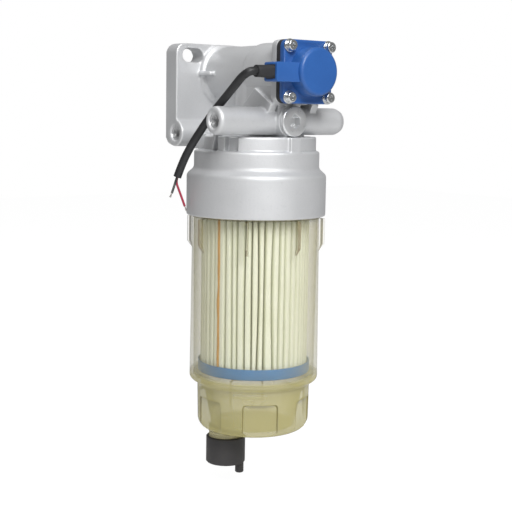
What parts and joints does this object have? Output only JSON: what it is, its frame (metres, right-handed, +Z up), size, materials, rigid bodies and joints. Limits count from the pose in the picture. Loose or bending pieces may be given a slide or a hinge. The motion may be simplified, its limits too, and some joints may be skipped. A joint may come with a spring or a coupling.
{
  "type": "fuel water separator",
  "caption": "Fuel water separator: cast head with mounting plate and electric priming pump, pleated element in a clear screw-on bowl, drain knob and pump lead.",
  "frame": {"origin": "midway between the two mounting slots, on the plate's back face", "axes": "+Z up along the bowl's axis, +Y out of the plate's back towards the frame it is bolted to, +X to the right seen from the front"},
  "size_m": [0.1405, 0.1414, 0.3637],
  "materials": {
    "cast_aluminium": "sand-cast, matt",
    "pump_blue": "satin paint",
    "black_rubber": "matt",
    "zinc_steel": "zinc plated",
    "nickel_steel": "turned",
    "dark_steel": "blackened",
    "soft_aluminium": "stamped",
    "amber_plastic": "clear, moulded",
    "dark_plastic": "moulded",
    "filter_paper": "resin-treated paper",
    "blue_plastic": "moulded",
    "white_plastic": "moulded",
    "orange_resin": "cured glue",
    "ferrite": "sintered",
    "lamination_steel": "stacked",
    "copper_wire": "enamelled",
    "copper_bar": "turned",
    "tinned_copper": "tinned strands",
    "carbon": "pressed carbon",
    "bronze": "sintered",
    "brass": "turned",
    "ball_steel": "polished",
    "cable_rubber": "matt sheath",
    "red_insulation": "wire insulation",
    "black_insulation": "wire insulation"
  },
  "bodies": {
    "head": {"head_casting": "cast_aluminium", "pump_gasket": "black_rubber", "pump_cover": "pump_blue", "cover_flat_washers": "zinc_steel", "cover_spring_washers": "zinc_steel", "cover_screws": "zinc_steel", "plug_washer": "soft_aluminium", "front_plug": "nickel_steel", "side_plug": "dark_steel", "check_spring": "nickel_steel", "valve_retainer": "brass", "motor_case": "zinc_steel", "motor_magnets": "ferrite", "brush_plate": "dark_plastic", "motor_brushes": "carbon", "motor_bushes": "bronze", "pump_plate": "soft_aluminium", "shaft_seal": "black_rubber", "pump_volute": "soft_aluminium", "element_nipple": "nickel_steel", "element_media": "filter_paper", "element_bottom_cap": "blue_plastic", "element_top_cap": "blue_plastic", "element_core": "blue_plastic", "element_seam": "orange_resin", "element_seal": "black_rubber", "cable_grommet": "black_rubber", "cable": "cable_rubber", "wire_red": "red_insulation", "wire_red_strands": "tinned_copper", "wire_black": "black_insulation", "wire_black_strands": "tinned_copper"},
    "rotor": {"rotor_shaft": "nickel_steel", "armature_core": "lamination_steel", "armature_windings": "copper_wire", "commutator": "copper_bar", "impeller": "white_plastic"},
    "valve_ball": {"check_ball": "ball_steel"},
    "bowl_seal": {"bowl_ring": "black_rubber"},
    "bowl": {"bowl": "amber_plastic"},
    "drain_seal": {"drain_ring": "black_rubber"},
    "drain_knob": {"drain_knob": "dark_plastic"}
  },
  "joints": [
    {"name": "rotor_spin", "type": "hinge", "parent": "head", "child": "rotor", "pos_m": [0.005, -0.069, -0.0151], "axis": [0, -1, 0], "continuous": true},
    {"name": "valve_lift", "type": "slide", "parent": "head", "child": "valve_ball", "axis": [0, 0, -1], "range_m": [0, 0.0012], "stiffness_N_per_m": 60, "springref_m": -0.004, "deforming": ["check_spring"]},
    {"name": "bowl_lower", "type": "slide", "parent": "head", "child": "bowl_seal", "axis": [0, 0, -1], "range_m": [0, 0.009]},
    {"name": "bowl_turn", "type": "hinge", "parent": "bowl_seal", "child": "bowl", "pos_m": [0, -0.069, -0.0783], "axis": [0, 0, -1], "range_deg": [0, 1090]},
    {"name": "knob_lower", "type": "slide", "parent": "bowl", "child": "drain_seal", "axis": [0, 0, -1], "range_m": [0, 0.004]},
    {"name": "knob_turn", "type": "hinge", "parent": "drain_seal", "child": "drain_knob", "pos_m": [-0.018, -0.055, -0.0783], "axis": [0, 0, -1], "range_deg": [0, 730]}
  ],
  "couplings": [
    {"joint": "bowl_turn", "follows": "bowl_lower", "rad_per_m": 2094.4},
    {"joint": "knob_turn", "follows": "knob_lower", "rad_per_m": 3141.6}
  ]
}
